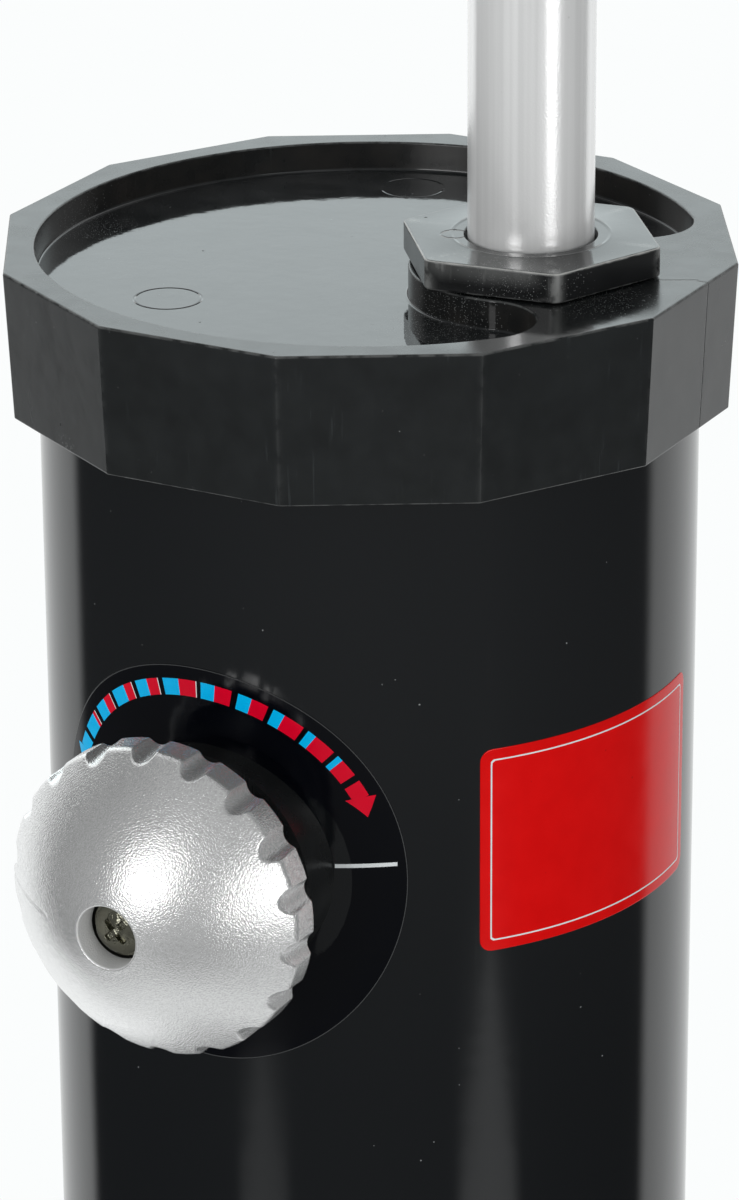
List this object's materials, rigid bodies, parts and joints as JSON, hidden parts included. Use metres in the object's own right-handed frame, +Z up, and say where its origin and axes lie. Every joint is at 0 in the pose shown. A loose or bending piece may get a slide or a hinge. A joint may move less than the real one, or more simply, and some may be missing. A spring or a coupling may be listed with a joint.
{
  "type": "solar outdoor shower",
  "caption": "Black upright pipe tank that the sun warms, with a flat-sided cap, a domed mixing knob on its front and a crooked silver riser carrying a round head on a ball joint.",
  "frame": {"origin": "centre of the base plate's underside, on the tank's axis, at ground level", "axes": "+Z up the tank, the knob faces -Y, the riser stands at +X"},
  "size_m": [0.2346, 0.405, 2.176],
  "materials": {
    "tank_black": "glossy extruded pipe",
    "moulded_black": "satin moulded plastic",
    "rubber": "matt",
    "fitting_grey": "moulded",
    "pipe_white": "extruded",
    "disc_white": "ground smooth",
    "clip_steel": "rolled band",
    "knob_silver": "metallic paint over a fine grain",
    "screw_chrome": "plated",
    "spindle_brass": "turned",
    "riser_metal": "drawn tube",
    "head_chrome": "metallised",
    "nozzle_rubber": "soft"
  },
  "bodies": {
    "tank": {"base_flange": "moulded_black", "tank_tube": "tank_black", "top_cap": "moulded_black", "gland_nut": "moulded_black", "gland_packing": "rubber", "inlet_bulkhead": "moulded_black", "inlet_saddle": "rubber", "inlet_backnut": "moulded_black", "inlet_adaptor": "fitting_grey", "inlet_washer": "rubber", "feed_pipe": "pipe_white", "cold_pipe": "pipe_white", "drain_bushing": "moulded_black", "drain_saddle": "rubber", "drain_backnut": "moulded_black", "drain_plug": "moulded_black", "plug_washer": "rubber", "mixer_body": "fitting_grey", "mixer_gasket": "rubber", "mixer_saddle": "moulded_black", "mixer_locknut": "moulded_black", "stator_disc": "disc_white", "port_block": "fitting_grey", "hot_pickup": "pipe_white", "outlet_hose": "rubber", "hose_clips": "clip_steel"},
    "knob": {"knob": "knob_silver", "knob_screw": "screw_chrome", "spindle": "spindle_brass", "spindle_ring": "rubber", "rotor_disc": "disc_white"},
    "riser": {"riser_pipe": "riser_metal", "ball_stud": "head_chrome"},
    "ball_liner": {"ball_liner": "disc_white"},
    "shower_head": {"head_nut": "head_chrome", "head_packing": "rubber", "head_shell": "head_chrome", "nozzle_mat": "nozzle_rubber", "spray_plate": "head_chrome"}
  },
  "joints": [
    {"name": "knob_turn", "type": "hinge", "parent": "tank", "child": "knob", "pos_m": [0, -0.099, 0.9992], "axis": [0, 1, 0], "range_deg": [0, 180]},
    {"name": "riser_swivel", "type": "hinge", "parent": "tank", "child": "riser", "pos_m": [0.0436, 0, 1.131], "axis": [0, 0, 1], "continuous": true},
    {"name": "head_pitch", "type": "hinge", "parent": "riser", "child": "ball_liner", "pos_m": [0.0436, -0.2, 2.0115], "axis": [1, 0, 0], "range_deg": [-15, 15]},
    {"name": "head_roll", "type": "hinge", "parent": "ball_liner", "child": "shower_head", "pos_m": [0.0436, -0.2, 2.0115], "axis": [0, 1, 0], "range_deg": [-15, 15]}
  ]
}
